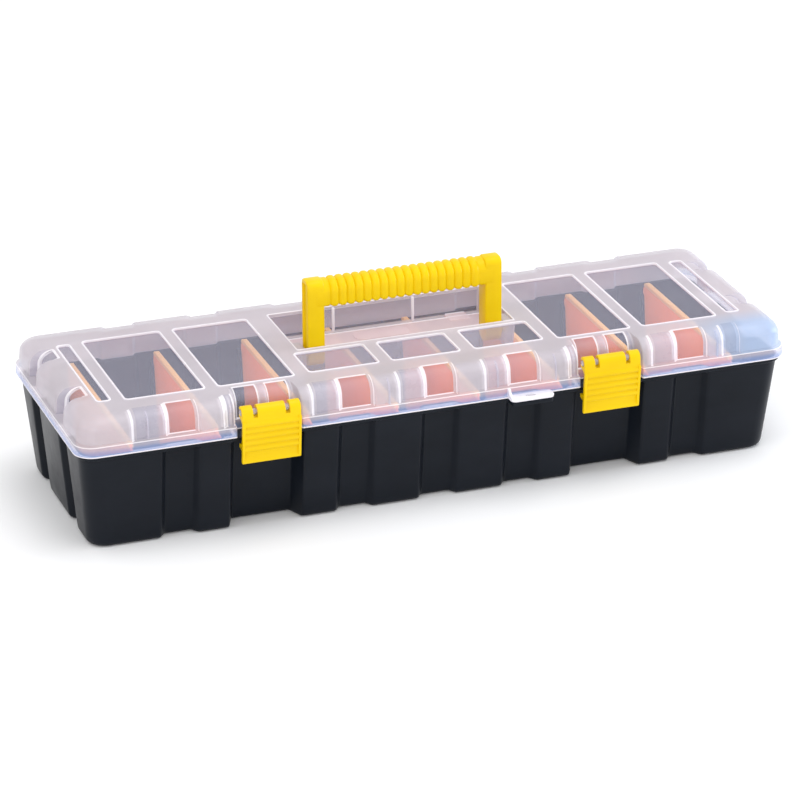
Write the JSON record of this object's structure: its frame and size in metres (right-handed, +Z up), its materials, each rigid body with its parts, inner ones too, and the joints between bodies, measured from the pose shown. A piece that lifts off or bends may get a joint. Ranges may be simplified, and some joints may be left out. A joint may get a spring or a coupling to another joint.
{
  "type": "parts organizer",
  "caption": "Long compartment box with a hinged see-through lid, a fold-down carrying handle, front snap latches and upright dividers.",
  "frame": {"origin": "middle of the underside of the whole object's box", "axes": "+X along the length to the right as seen from the latches, -Y to the front where the latches are, +Z up"},
  "size_m": [0.43, 0.1594, 0.1224],
  "materials": {
    "tub_black": "satin moulded polypropylene",
    "lid_frosted": "milky translucent polypropylene with polished clear panes",
    "handle_yellow": "satin moulded polypropylene",
    "latch_yellow": "satin moulded polypropylene",
    "divider_orange": "satin moulded polypropylene"
  },
  "bodies": {
    "case": {"tub": "tub_black", "divider_1": "divider_orange", "divider_2": "divider_orange", "divider_3": "divider_orange", "divider_4": "divider_orange", "divider_5": "divider_orange", "divider_6": "divider_orange", "divider_7": "divider_orange", "divider_8": "divider_orange"},
    "lid": {"lid": "lid_frosted"},
    "handle": {"handle": "handle_yellow"},
    "latch_left": {"latch_left": "latch_yellow"},
    "latch_right": {"latch_right": "latch_yellow"}
  },
  "joints": [
    {"name": "lid_hinge", "type": "hinge", "parent": "case", "child": "lid", "pos_m": [0, 0.0756, 0.059], "axis": [-1, 0, 0], "range_deg": [0, 110]},
    {"name": "handle_fold", "type": "hinge", "parent": "lid", "child": "handle", "pos_m": [0, -0.004, 0.074], "axis": [-1, 0, 0], "range_deg": [0, 90]},
    {"name": "latch_left_swing", "type": "hinge", "parent": "lid", "child": "latch_left", "pos_m": [-0.1033, -0.0716, 0.0743], "axis": [-1, 0, 0], "range_deg": [0, 100]},
    {"name": "latch_right_swing", "type": "hinge", "parent": "lid", "child": "latch_right", "pos_m": [0.1033, -0.0716, 0.0743], "axis": [-1, 0, 0], "range_deg": [0, 100]}
  ]
}
